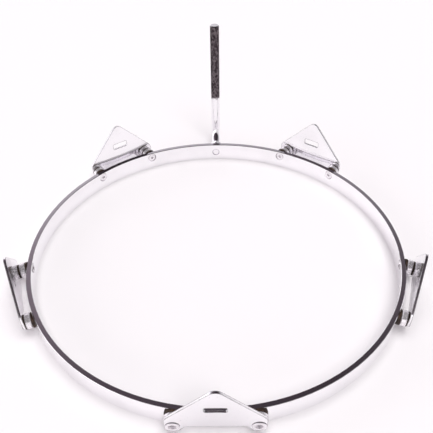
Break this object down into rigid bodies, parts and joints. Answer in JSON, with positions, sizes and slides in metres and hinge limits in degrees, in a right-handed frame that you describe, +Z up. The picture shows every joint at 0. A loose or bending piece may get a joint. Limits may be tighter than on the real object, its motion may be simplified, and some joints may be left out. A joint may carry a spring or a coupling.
{
  "type": "snare drum suspension ring",
  "caption": "Round flat-bar drum suspension hoop with slotted triangular hanger plates on rubber-cushioned standoffs and an upright L-rod at the back.",
  "frame": {"origin": "centre of the bounding box in plan, on the plane the hoop's lower edge rests on; the hoop's centre is 12.1 mm in front of it (-Y)", "axes": "+Z up along the hoop's axis; +Y towards the L-rod at the back, so the single front hanger plate is at -Y"},
  "size_m": [0.402, 0.4264, 0.163],
  "materials": {
    "hoop_chrome": "mirror chrome plate",
    "polished_plate": "polished, chrome plated sheet",
    "standoff_chrome": "turned and chrome plated",
    "fastener_chrome": "chrome plated fasteners",
    "rod_chrome": "mirror chrome plate",
    "black_rubber": "dull dark brown-black rubber"
  },
  "bodies": {
    "ring": {"hoop": "hoop_chrome", "hanger_plate_1": "polished_plate", "screw_1a": "fastener_chrome", "rubber_pad_1a": "black_rubber", "standoff_1a": "standoff_chrome", "rubber_bush_1a": "black_rubber", "sleeve_nut_1a": "fastener_chrome", "screw_1b": "fastener_chrome", "rubber_pad_1b": "black_rubber", "standoff_1b": "standoff_chrome", "rubber_bush_1b": "black_rubber", "sleeve_nut_1b": "fastener_chrome", "hanger_plate_2": "polished_plate", "screw_2a": "fastener_chrome", "rubber_pad_2a": "black_rubber", "standoff_2a": "standoff_chrome", "rubber_bush_2a": "black_rubber", "sleeve_nut_2a": "fastener_chrome", "screw_2b": "fastener_chrome", "rubber_pad_2b": "black_rubber", "standoff_2b": "standoff_chrome", "rubber_bush_2b": "black_rubber", "sleeve_nut_2b": "fastener_chrome", "hanger_plate_3": "polished_plate", "screw_3a": "fastener_chrome", "rubber_pad_3a": "black_rubber", "standoff_3a": "standoff_chrome", "rubber_bush_3a": "black_rubber", "sleeve_nut_3a": "fastener_chrome", "screw_3b": "fastener_chrome", "rubber_pad_3b": "black_rubber", "standoff_3b": "standoff_chrome", "rubber_bush_3b": "black_rubber", "sleeve_nut_3b": "fastener_chrome", "hanger_plate_4": "polished_plate", "screw_4a": "fastener_chrome", "rubber_pad_4a": "black_rubber", "standoff_4a": "standoff_chrome", "rubber_bush_4a": "black_rubber", "sleeve_nut_4a": "fastener_chrome", "screw_4b": "fastener_chrome", "rubber_pad_4b": "black_rubber", "standoff_4b": "standoff_chrome", "rubber_bush_4b": "black_rubber", "sleeve_nut_4b": "fastener_chrome", "hanger_plate_5": "polished_plate", "screw_5a": "fastener_chrome", "rubber_pad_5a": "black_rubber", "standoff_5a": "standoff_chrome", "rubber_bush_5a": "black_rubber", "sleeve_nut_5a": "fastener_chrome", "screw_5b": "fastener_chrome", "rubber_pad_5b": "black_rubber", "standoff_5b": "standoff_chrome", "rubber_bush_5b": "black_rubber", "sleeve_nut_5b": "fastener_chrome", "rod_boss": "rod_chrome"},
    "nut": {"jam_nut": "rod_chrome"},
    "rod": {"l_rod": "rod_chrome"}
  },
  "joints": [
    {"name": "rod_swivel", "type": "hinge", "parent": "ring", "child": "rod", "pos_m": [0, 0.17793, 0.0105], "axis": [0, 1, 0], "range_deg": [-90, 90]},
    {"name": "jam_nut_turn", "type": "hinge", "parent": "ring", "child": "nut", "pos_m": [0, 0.17793, 0.0105], "axis": [0, 1, 0], "range_deg": [0, 180]}
  ]
}
